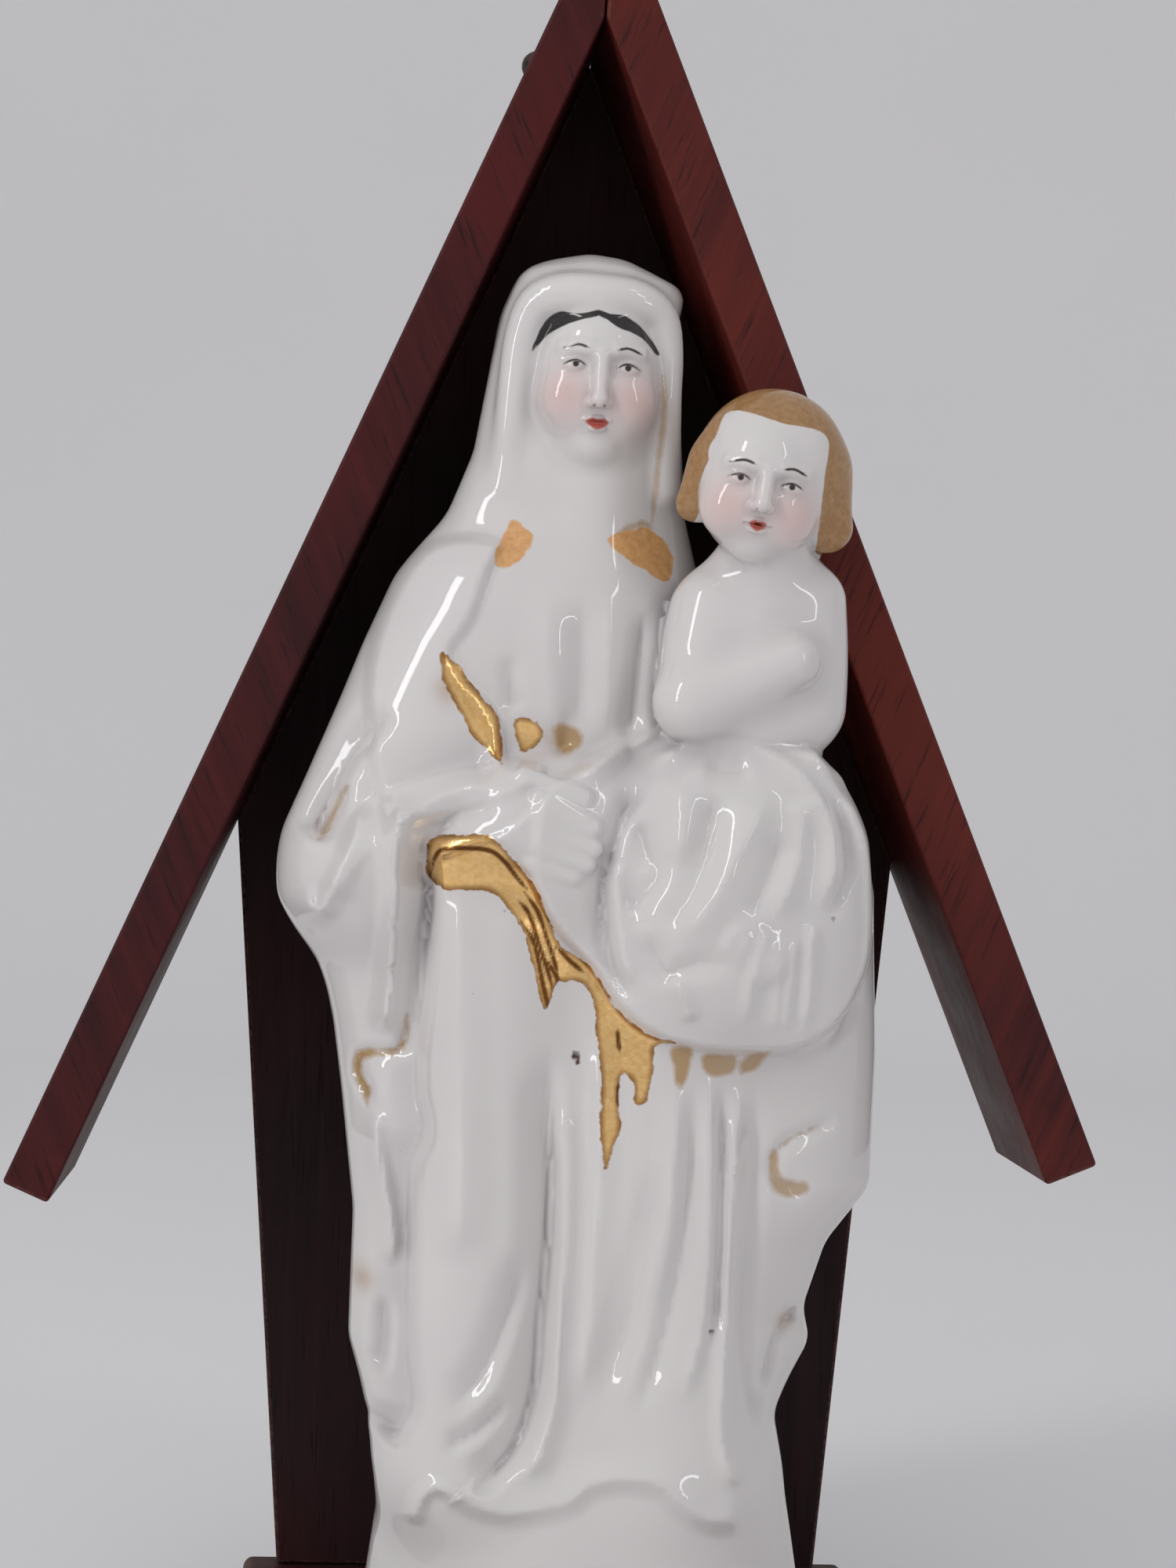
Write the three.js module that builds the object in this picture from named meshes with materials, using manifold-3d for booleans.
// Porcelain statuette of a veiled mother and child in a gabled wooden niche.
// Millimetres. X runs to the viewer's right, Y towards the wall, Z up.
// The origin lies on the shelf's underside, halfway between its ends, WALL_Y in front of the wall side.
import * as THREE from "three";
import { mergeVertices } from "three/addons/utils/BufferGeometryUtils.js";
import Module from "manifold-3d";

const wasm = await Module();
wasm.setup();

// Gap between pieces that touch
const GAP = 0.3;

// Shelf under the figure, beyond the lower edge of the photograph
const SHELF = { width: 116, front: -34, thickness: 12, edge: 1.2 };

// Wall side of the whole niche
const WALL_Y = 38;

// Upright board behind the figure, measured from the top of the shelf
const PANEL = { thickness: 7, footHalfWidth: 51.5, taper: 0.082 };

// Two boards of the gable. The inner apex is given above the top of the shelf.
const APEX_HEIGHT = 288;
const ROOF_DEPTH = 47;
const LEFT_BOARD = { side: -1, angle: 23.4, thickness: 8.8, length: 233.5 };
const RIGHT_BOARD = { side: 1, angle: 22.6, thickness: 9.9, length: 224.5 };

// Domed iron pin that the niche can hang by, on the left board's outer face
const PIN = { radius: 3, height: 3.1, alongBoard: 27, fromWall: 8, sides: 16, rings: 4 };

// Figure, in its own frame: z is the height above the shelf, y = 0 the seam of its two moulds
const TOP_RING = 245.6;
const SECTION_POWER = 2.4;
const TABLE_STEPS = [-1.5, 0, 1.5];

// Outline of the robe and the veil at each height: left edge, right edge, front and back
const LEFT_EDGE = [
  [0, -35.5], [16, -33.4], [27, -32], [38, -35.3], [50, -39], [73, -38.8], [95, -41.6], [107, -43.4],
  [118, -46], [129, -51.8], [141, -50.3], [164, -42.2], [175, -38.6], [187, -33.7], [198, -25.8],
  [210, -21.1], [233, -17.4], [240, -16], [248, -15.5],
];
const RIGHT_EDGE = [
  [0, 45], [17, 42.2], [28, 40.3], [38, 38], [51, 44.8], [57, 43.5], [69, 47.3], [79, 55], [103, 55.4],
  [132, 54.2], [144, 49], [150, 40], [158, 30], [170, 24], [190, 20], [200, 17.5], [211, 16.8],
  [222, 15.7], [233, 15.1], [237, 16], [240, 16.6], [248, 16.6],
];
const FRONT_DEPTH = [
  [0, 27], [20, 25.5], [40, 23], [100, 21], [125, 20], [150, 16], [170, 14], [185, 12], [195, 11],
  [225, 11], [238, 11], [248, 10.5],
];
const BACK_DEPTH = [
  [0, 25], [40, 22], [140, 24], [170, 22], [190, 18], [205, 14], [238, 11.5], [248, 10.5],
];

// Top of the veil: its height across the head, and how fast it falls to the front and the back
const CROWN = [
  [-17, 236], [-15, 240.8], [-13.2, 243.1], [-10.6, 244.5], [-7.6, 245.4], [-1, 246.6],
  [5.3, 245.8], [10.8, 243.3], [15.4, 241], [17, 240.2],
];
const CROWN_FALL = 0.034;

// Rolled edge of the veil, over the forehead and down beside the face: places and radii
const VEIL_EDGE = [
  { at: [-15, -6.5, 206], radius: 3.4 }, { at: [-14, -8, 221], radius: 3.2 },
  { at: [-12.2, -8.6, 235.4], radius: 3.8 }, { at: [-6, -11, 237.2], radius: 4.1 },
  { at: [1, -11.8, 237], radius: 4.1 }, { at: [7, -10.8, 236], radius: 4 },
  { at: [12, -8.6, 235], radius: 3.6 }, { at: [12.4, -8, 221], radius: 3 },
  { at: [13.2, -6.5, 206], radius: 3.2 },
];

// How finely the three castings are faceted. Crowding packs the facets at the front or the top.
const MOTHER_FACETS = { around: 60, up: 64, frontCrowding: 0.45, topCrowding: 0.25 };
const CHILD_FACETS = { around: 26, up: 13, frontCrowding: 0.25, topCrowding: 0 };
const HEAD_FACETS = { around: 24, up: 15 };

// Heights that the casting of the child's trunk runs between, inside the lap and inside the neck
const CHILD_LOW = 148;
const CHILD_HIGH = 193;

const clamp = (value, low, high) => Math.min(Math.max(value, low), high);

const ramp = (start, end, value) => {
  const share = clamp((value - start) / (end - start), 0, 1);
  return share * share * (3 - 2 * share);
};

// A table's value at a height, with its corners rounded over a few millimetres
function tableAt(table, height) {
  let sum = 0;
  for (const step of TABLE_STEPS) {
    const at = clamp(height + step, table[0][0], table[table.length - 1][0]);
    const next = Math.max(1, table.findIndex(([level]) => level >= at));
    const [lowLevel, lowValue] = table[next - 1];
    const [highLevel, highValue] = table[next];
    sum += lowValue + ((highValue - lowValue) * (at - lowLevel)) / (highLevel - lowLevel);
  }
  return sum / TABLE_STEPS.length;
}

// Forms of the figure. Each gives roughly the distance of a point from its surface, below zero inside.

function joinSoftly(first, second, reach) {
  const overlap = Math.max(reach - Math.abs(first - second), 0) / reach;
  return Math.min(first, second) - (overlap * overlap * reach) / 4;
}

const cutSoftly = (solid, cutter, reach) => -joinSoftly(-solid, cutter, reach);

// An egg shape that may lean sideways, in degrees
function egg(point, centre, radii, lean = 0) {
  const turn = THREE.MathUtils.degToRad(lean);
  const dx = point.x - centre[0];
  const dz = point.z - centre[2];
  const x = dx * Math.cos(turn) - dz * Math.sin(turn);
  const y = point.y - centre[1];
  const z = dx * Math.sin(turn) + dz * Math.cos(turn);
  const [a, b, c] = radii;
  const scaled = Math.hypot(x / a, y / b, z / c);
  const steep = Math.hypot(x / (a * a), y / (b * b), z / (c * c)) + 1e-9;
  return (scaled * (scaled - 1)) / steep;
}

// A round limb between two points, flattened from front to back where flat is under 1
function limb(point, start, end, startRadius, endRadius, flat = 1) {
  const along = end.map((value, axis) => value - start[axis]);
  const from = [point.x - start[0], point.y - start[1], point.z - start[2]];
  const length2 = along[0] ** 2 + along[1] ** 2 + along[2] ** 2;
  const dot = from[0] * along[0] + from[1] * along[1] + from[2] * along[2];
  const share = clamp(dot / length2, 0, 1);
  const off = from.map((value, axis) => value - share * along[axis]);
  return Math.hypot(off[0], off[1] / flat, off[2]) - startRadius - share * (endRadius - startRadius);
}

// Robe and veil as one upright form, with a rounded section at every height
function robe(point) {
  const left = tableAt(LEFT_EDGE, point.z);
  const right = tableAt(RIGHT_EDGE, point.z);
  const depth = tableAt(point.y < 0 ? FRONT_DEPTH : BACK_DEPTH, point.z);
  const x = point.x - (left + right) / 2;
  const across = Math.abs(x) / ((right - left) / 2);
  const deep = Math.abs(point.y) / depth;
  const reach = (across ** SECTION_POWER + deep ** SECTION_POWER) ** (1 / SECTION_POWER);
  return Math.hypot(x, point.y) * (1 - 1 / Math.max(reach, 0.05));
}

// The face lies in a shallow recess under the rolled edge of the veil
function motherHead(point, body) {
  const above = point.z - tableAt(CROWN, point.x) + CROWN_FALL * point.y ** 2;
  let solid = cutSoftly(body, -0.85 * above, 2.5);
  solid = cutSoftly(solid, limb(point, [0.3, -20.5, 230], [0.6, -21.5, 198], 11, 10.5), 5);
  solid = joinSoftly(solid, limb(point, [0.6, -3.5, 215], [0.2, -3, 190], 9, 10), 4);
  solid = joinSoftly(solid, egg(point, [0.6, -8.2, 222.6], [11.3, 10, 15.8]), 3);
  let edge = Infinity;
  VEIL_EDGE.slice(1).forEach((end, index) => {
    const start = VEIL_EDGE[index];
    edge = Math.min(edge, limb(point, start.at, end.at, start.radius, end.radius));
  });
  return joinSoftly(solid, edge, 2.5);
}

function motherArm(point, body) {
  let solid = joinSoftly(body, limb(point, [-20, -5, 178], [-38.5, -6, 136], 10.5, 12.5), 14);
  solid = joinSoftly(solid, limb(point, [-38, -10, 133], [-12, -19, 144], 11.5, 8.5), 7);
  solid = joinSoftly(solid, limb(point, [-14, -22, 143], [-4, -26, 136], 6.3, 6.5, 0.85), 4);
  return joinSoftly(solid, limb(point, [-4, -26, 136], [3, -27, 130], 6.3, 5, 0.7), 3);
}

function legsUnderSkirt(point, body) {
  const solid = joinSoftly(body, limb(point, [-15, -12, 124], [-19, -12, 30], 12.5, 14), 8);
  return joinSoftly(solid, limb(point, [14, -9, 112], [20, -10, 30], 13, 15), 9);
}

function drapedLap(point, body) {
  let solid = joinSoftly(body, egg(point, [24.5, -14, 128], [22, 17.5, 25.5], -8), 5);
  solid = joinSoftly(solid, limb(point, [42, -17, 140], [33, -25, 120], 8, 7), 6);
  return joinSoftly(solid, limb(point, [20, -20, 146], [38, -18, 150], 8, 7), 6);
}

function childBody(point) {
  let solid = egg(point, [28.5, -16, 171], [15.5, 11, 24], 3);
  solid = joinSoftly(solid, limb(point, [38.8, -17, 184], [39, -17.5, 165], 6.3, 6.3), 5);
  solid = joinSoftly(solid, limb(point, [20.5, -18, 182], [17.8, -23, 166], 6, 6), 4);
  return joinSoftly(solid, limb(point, [17.8, -24, 165], [35, -27, 173], 6, 4.6), 4);
}

const CHILD_HEAD_CENTRE = new THREE.Vector3(29.3, -23, 206);

function childHead(point) {
  const neck = limb(point, [31, -17, 188], [30.5, -22, 198], 8, 7.5);
  const face = egg(point, [28.6, -24, 204.5], [11, 11.5, 13.8], 9);
  let hair = egg(point, [30.6, -22, 207], [13.4, 12, 13.8], 9);
  hair = joinSoftly(hair, limb(point, [39.2, -21, 206], [40.9, -21, 197], 5, 4.6), 4);
  hair = joinSoftly(hair, limb(point, [20.2, -21, 207], [17.3, -21, 200.3], 3.6, 3.2), 4);
  return Math.min(joinSoftly(neck, face, 2), hair);
}

// Folds and hems, drawn over the front as lines of [x, z]. A height below zero is a groove.
// Left and right are the widths on the two sides of the line, as it is followed.

function fold(height, left, right, line, fade = 0.15) {
  const curve = new THREE.SplineCurve(line.map(([x, z]) => new THREE.Vector2(x, z)));
  const points = curve.getPoints(line.length * 4);
  return { height, left, right, fade, points, box: new THREE.Box2().setFromPoints(points) };
}

const FOLDS = [
  // Bodice
  fold(-1, 3.5, 3.5, [[-2, 184], [-1, 170], [-2, 156.5]], 0.3),
  fold(0.8, 4.5, 4.5, [[-7.5, 186.5], [-7, 170], [-4.5, 156]], 0.3),
  // Sleeve, from the wrist to the elbow
  fold(-1.6, 4, 6, [[-15, 154], [-26, 152], [-38, 147], [-46.5, 137]]),
  fold(-2.2, 2.5, 4.5, [[-34.5, 163], [-41, 155], [-47.5, 138.5]]),
  fold(1.4, 5, 4, [[-15, 150.5], [-24.5, 149], [-34, 141.5], [-43, 129]]),
  fold(2.4, 6, 3.5, [[-32, 148.5], [-33, 127], [-34.5, 104.5]]),
  // Edge of the mantle that hangs from the arm
  fold(-3.2, 2.6, 6, [[-28.5, 142], [-28, 114.5], [-28.5, 84], [-28.5, 54], [-31, 33.5]], 0.06),
  // Skirt
  fold(0.8, 4, 8, [[-23.5, 133.5], [-22.5, 98], [-20.5, 69]]),
  fold(-3.6, 7, 3.6, [[-4.5, 112], [-2.5, 73.5], [-5, 47.5], [-15.5, 26]]),
  fold(-1.8, 5, 4, [[-10.5, 68], [-11.5, 57], [-21, 40.5]]),
  fold(1.8, 3, 4, [[-1, 96], [-1, 65.5], [-5.5, 31]]),
  fold(-2, 4.5, 4.5, [[15.5, 99], [15, 82.5], [12, 61.5], [2, 34]]),
  fold(-1.5, 3.6, 3.6, [[23, 102], [23, 68.5], [19, 34]]),
  fold(1.4, 3.6, 3.6, [[26.5, 102], [27, 63.5], [28, 31.5]]),
  fold(-3.2, 3, 5.5, [[31, 103.5], [31, 69], [30, 53.5], [35, 34.5]], 0.1),
  // Hem above the plain base
  fold(1.6, 5, 3, [[-24.5, 31], [-14.5, 23.5], [1, 25.5], [13.5, 30], [24, 24.5], [35.5, 27]], 0.05),
];

// A layer of cloth that lies on the rest: an outline of [x, z] and its thickness
function layer(thickness, edge, outline) {
  const points = outline.map(([x, z]) => new THREE.Vector2(x, z));
  return { thickness, edge, points, box: new THREE.Box2().setFromPoints(points) };
}

const LAYERS = [
  // Mantle over the near arm, beside the bodice
  layer(1.8, 3, [
    [-27, 194], [-18, 193], [-19, 182], [-22.5, 173.5], [-20, 164], [-15, 154.5], [-8, 153.5],
    [-15, 147.5], [-34, 144.5], [-38.5, 170],
  ]),
  // Mantle drawn across the body, down to its gilded hem
  layer(2.4, 3, [
    [-27, 134.5], [-21.5, 140.5], [-14.5, 139.5], [-9, 132.5], [-3.5, 124.5], [2.5, 118], [8.5, 110],
    [17, 106], [29.5, 104], [40.5, 106.5], [44.5, 117.5], [30, 131], [14.5, 140.5], [-1, 144],
    [-14.5, 142],
  ]),
];

// Nearest point of a broken line: its distance, its side of the line and its share of the length
function nearestOnLine(points, x, z, closed) {
  const spans = closed ? points.length : points.length - 1;
  const best = { distance: Infinity, side: 0, share: 0 };
  for (let span = 0; span < spans; span += 1) {
    const start = points[span];
    const end = points[(span + 1) % points.length];
    const dx = end.x - start.x;
    const dz = end.y - start.y;
    const share = clamp(((x - start.x) * dx + (z - start.y) * dz) / (dx * dx + dz * dz), 0, 1);
    const offX = x - start.x - share * dx;
    const offZ = z - start.y - share * dz;
    const distance = Math.hypot(offX, offZ);
    if (distance < best.distance) {
      best.distance = distance;
      best.side = Math.sign(offX * dz - offZ * dx);
      best.share = (span + share) / spans;
    }
  }
  return best;
}

function isInside(points, x, z) {
  let inside = false;
  points.forEach((start, index) => {
    const end = points[(index + 1) % points.length];
    const crosses = start.y > z !== end.y > z;
    const at = ((end.x - start.x) * (z - start.y)) / (end.y - start.y) + start.x;
    if (crosses && x < at) inside = !inside;
  });
  return inside;
}

function foldHeight(one, x, z) {
  const { distance, side, share } = nearestOnLine(one.points, x, z, false);
  const across = clamp(distance / (side > 0 ? one.right : one.left), 0, 1);
  const ends = ramp(0, one.fade, share) * ramp(0, one.fade, 1 - share);
  return one.height * (1 - across * across) ** 2 * ends;
}

function layerHeight(one, x, z) {
  const { distance } = nearestOnLine(one.points, x, z, true);
  const within = isInside(one.points, x, z) ? distance : -distance;
  return one.thickness * ramp(-one.edge / 2, one.edge / 2, within);
}

const near = (box, x, z, reach) =>
  x > box.min.x - reach && x < box.max.x + reach && z > box.min.y - reach && z < box.max.y + reach;

// Height of the folds and layers at one place of the front
function reliefAt(x, z) {
  let height = 0;
  for (const one of FOLDS) {
    if (near(one.box, x, z, Math.max(one.left, one.right))) height += foldHeight(one, x, z);
  }
  for (const one of LAYERS) {
    if (near(one.box, x, z, one.edge)) height += layerHeight(one, x, z);
  }
  return height;
}

// The folds fade out past the seam of the moulds, so the back stays plain
const FRONT_FADE = { start: 4, end: -6 };

function mother(point) {
  let solid = motherHead(point, robe(point));
  solid = motherArm(point, solid);
  solid = joinSoftly(solid, egg(point, [-3, -4, 175], [21, 13.5, 21]), 8);
  solid = legsUnderSkirt(point, solid);
  solid = drapedLap(point, solid);
  return solid - reliefAt(point.x, point.z) * ramp(FRONT_FADE.start, FRONT_FADE.end, point.y);
}

// Where a ray from inside a form leaves it
const MARCH = 1.2;
const HALVINGS = 14;

function castOut(form, origin, direction) {
  const place = new THREE.Vector3();
  const formAt = (distance) => form(place.copy(origin).addScaledVector(direction, distance));
  let outside = MARCH;
  while (formAt(outside) < 0) outside += MARCH;
  let inside = outside - MARCH;
  for (let step = 0; step < HALVINGS; step += 1) {
    const middle = (inside + outside) / 2;
    if (formAt(middle) < 0) inside = middle;
    else outside = middle;
  }
  return origin.clone().addScaledVector(direction, inside);
}

// A cylinder's vertices are sent out on to a form, ring by ring, from a line inside it
function castRings(form, axisAt, low, high, facets) {
  const { around, up, frontCrowding, topCrowding } = facets;
  const geometry = new THREE.CylinderGeometry(1, 1, 1, around, up);
  const position = geometry.attributes.position;
  for (let index = 0; index < position.count; index += 1) {
    const level = position.getY(index) + 0.5;
    const origin = axisAt(low + (high - low) * level * (1 + topCrowding - topCrowding * level));
    const radius = Math.hypot(position.getX(index), position.getZ(index));
    const turn = Math.atan2(position.getX(index), position.getZ(index));
    const bearing = turn - frontCrowding * Math.sin(turn);
    const direction = new THREE.Vector3(Math.sin(bearing), -Math.cos(bearing), 0);
    const place = radius > 0.5 ? castOut(form, origin, direction) : origin;
    position.setXYZ(index, place.x, place.y, place.z);
  }
  return geometry;
}

// Line inside the mother, which moves from the middle of the robe to the middle of the head
function motherAxis(height) {
  const middle = (tableAt(LEFT_EDGE, height) + tableAt(RIGHT_EDGE, height)) / 2;
  const towardsHead = ramp(150, 200, height);
  return new THREE.Vector3(middle * (1 - towardsHead) + 0.8 * towardsHead, 7 - 5 * towardsHead, height);
}

const childAxis = (height) => new THREE.Vector3(29, -16, height);

// Child's head: a sphere's vertices are sent out from its middle
function headGeometry() {
  const geometry = new THREE.SphereGeometry(1, HEAD_FACETS.around, HEAD_FACETS.up);
  geometry.rotateX(Math.PI / 2);
  const position = geometry.attributes.position;
  const direction = new THREE.Vector3();
  for (let index = 0; index < position.count; index += 1) {
    direction.fromBufferAttribute(position, index).normalize();
    const place = castOut(childHead, CHILD_HEAD_CENTRE, direction);
    position.setXYZ(index, place.x, place.y, place.z);
  }
  return geometry;
}

function toSolid(geometry) {
  geometry.deleteAttribute("normal");
  geometry.deleteAttribute("uv");
  const merged = mergeVertices(geometry, 1e-4);
  return new wasm.Manifold(new wasm.Mesh({
    numProp: 3,
    vertProperties: new Float32Array(merged.attributes.position.array),
    triVerts: new Uint32Array(merged.index.array),
  }));
}

function toGeometry(solid) {
  const { vertProperties, triVerts } = solid.getMesh();
  const geometry = new THREE.BufferGeometry();
  geometry.setAttribute("position", new THREE.BufferAttribute(vertProperties, 3));
  geometry.setIndex(new THREE.BufferAttribute(triVerts, 1));
  geometry.computeVertexNormals();
  return geometry;
}

function statuetteGeometry() {
  const robed = castRings(mother, motherAxis, 0, TOP_RING, MOTHER_FACETS);
  const trunk = castRings(childBody, childAxis, CHILD_LOW, CHILD_HIGH, CHILD_FACETS);
  return toGeometry(toSolid(robed).add(toSolid(trunk)).add(toSolid(headGeometry())));
}

// Niche

// A board cut from an outline of [x, z], with its faces at two depths
function boardGeometry(outline, front, back) {
  const shape = new THREE.Shape(outline.map(([x, z]) => new THREE.Vector2(x, z)));
  const geometry = new THREE.ExtrudeGeometry(shape, { depth: back - front, bevelEnabled: false });
  geometry.rotateX(Math.PI / 2);
  geometry.translate(0, back, 0);
  return geometry;
}

const slope = (board) => THREE.MathUtils.degToRad(board.angle);

// Where the outer faces of the two boards meet, seen from the front
function outerApex() {
  const left = LEFT_BOARD.thickness;
  const right = RIGHT_BOARD.thickness;
  const [a, b] = [slope(LEFT_BOARD), slope(RIGHT_BOARD)];
  const rise = (right * Math.cos(a) + left * Math.cos(b)) / Math.sin(a + b);
  const shift = (right - rise * Math.sin(b)) / Math.cos(b);
  return [shift, APEX_HEIGHT + rise];
}

// A roof board: mitred at the apex and cut square at its lower end
function roofBoard(board) {
  const { side, thickness, length } = board;
  const along = [side * Math.sin(slope(board)), -Math.cos(slope(board))];
  const out = [side * Math.cos(slope(board)), Math.sin(slope(board))];
  const mitre = (side * GAP) / 2;
  const [apexX, apexZ] = outerApex();
  const innerEnd = [along[0] * length, APEX_HEIGHT + along[1] * length];
  const outerEnd = [innerEnd[0] + out[0] * thickness, innerEnd[1] + out[1] * thickness];
  const outline = [[mitre, APEX_HEIGHT], innerEnd, outerEnd, [apexX + mitre, apexZ]];
  return boardGeometry(outline, WALL_Y - ROOF_DEPTH, WALL_Y);
}

// The upright board fills the gable between the roof boards, then narrows towards the shelf
function backPanel() {
  const { thickness, footHalfWidth, taper } = PANEL;
  const shoulder = (board) => {
    const spread = Math.tan(slope(board));
    const gap = GAP / Math.cos(slope(board));
    const height = (APEX_HEIGHT * spread - gap - footHalfWidth) / (spread + taper);
    return [board.side * (footHalfWidth + taper * height), height];
  };
  const peak = APEX_HEIGHT - GAP / Math.sin(slope(RIGHT_BOARD));
  const outline = [
    [-footHalfWidth, GAP], [footHalfWidth, GAP], shoulder(RIGHT_BOARD), [0, peak], shoulder(LEFT_BOARD),
  ];
  return boardGeometry(outline, WALL_Y - thickness, WALL_Y);
}

// The shelf's upper front and side edges are eased
function baseShelf() {
  const { width, front, thickness, edge } = SHELF;
  const half = width / 2;
  const outline = [
    [-half, 0], [half, 0], [half, thickness - edge], [half - edge, thickness],
    [edge - half, thickness], [-half, thickness - edge],
  ];
  return boardGeometry(outline, front, WALL_Y);
}

// The pin's domed head, flat against the board
function hangingPin() {
  const { radius, height, sides, rings } = PIN;
  const profile = [new THREE.Vector2(0, 0), new THREE.Vector2(radius, 0)];
  for (let ring = 1; ring < rings; ring += 1) {
    const turn = (ring / rings) * (Math.PI / 2);
    profile.push(new THREE.Vector2(radius * Math.cos(turn), height * Math.sin(turn)));
  }
  profile.push(new THREE.Vector2(0, height));
  return new THREE.LatheGeometry(profile, sides);
}

const GLAZE = new THREE.MeshStandardMaterial({ color: 0xf2f0ee, roughness: 0.08, metalness: 0 });
const PANEL_WOOD = new THREE.MeshStandardMaterial({ color: 0x2a1212, roughness: 0.5, metalness: 0 });
const ROOF_WOOD = new THREE.MeshStandardMaterial({ color: 0x481a18, roughness: 0.42, metalness: 0 });
const IRON = new THREE.MeshStandardMaterial({ color: 0x2b2928, roughness: 0.5, metalness: 0.8 });

function named(name, geometry, material) {
  const mesh = new THREE.Mesh(geometry, material);
  mesh.name = name;
  return mesh;
}

const figure = named("statuette", statuetteGeometry(), GLAZE);
figure.position.z = GAP;

// The pin's head on the outer face of the left board, down from the outer apex
function pinOnBoard() {
  const pin = named("hanging_pin", hangingPin(), IRON);
  const turn = slope(LEFT_BOARD);
  const [apexX, apexZ] = outerApex();
  pin.position.set(
    apexX - PIN.alongBoard * Math.sin(turn) - GAP * Math.cos(turn),
    WALL_Y - PIN.fromWall,
    apexZ - PIN.alongBoard * Math.cos(turn) + GAP * Math.sin(turn),
  );
  const outward = new THREE.Vector3(-Math.cos(turn), 0, Math.sin(turn));
  pin.quaternion.setFromUnitVectors(new THREE.Vector3(0, 1, 0), outward);
  return pin;
}

// Everything that stands on the shelf
const standing = new THREE.Group();
standing.position.z = SHELF.thickness;
standing.add(
  figure,
  named("back_panel", backPanel(), PANEL_WOOD),
  named("roof_board_left", roofBoard(LEFT_BOARD), ROOF_WOOD),
  named("roof_board_right", roofBoard(RIGHT_BOARD), ROOF_WOOD),
  pinOnBoard(),
);

const statuetteWithNiche = new THREE.Group();
statuetteWithNiche.add(named("base_shelf", baseShelf(), PANEL_WOOD), standing);

export default statuetteWithNiche;
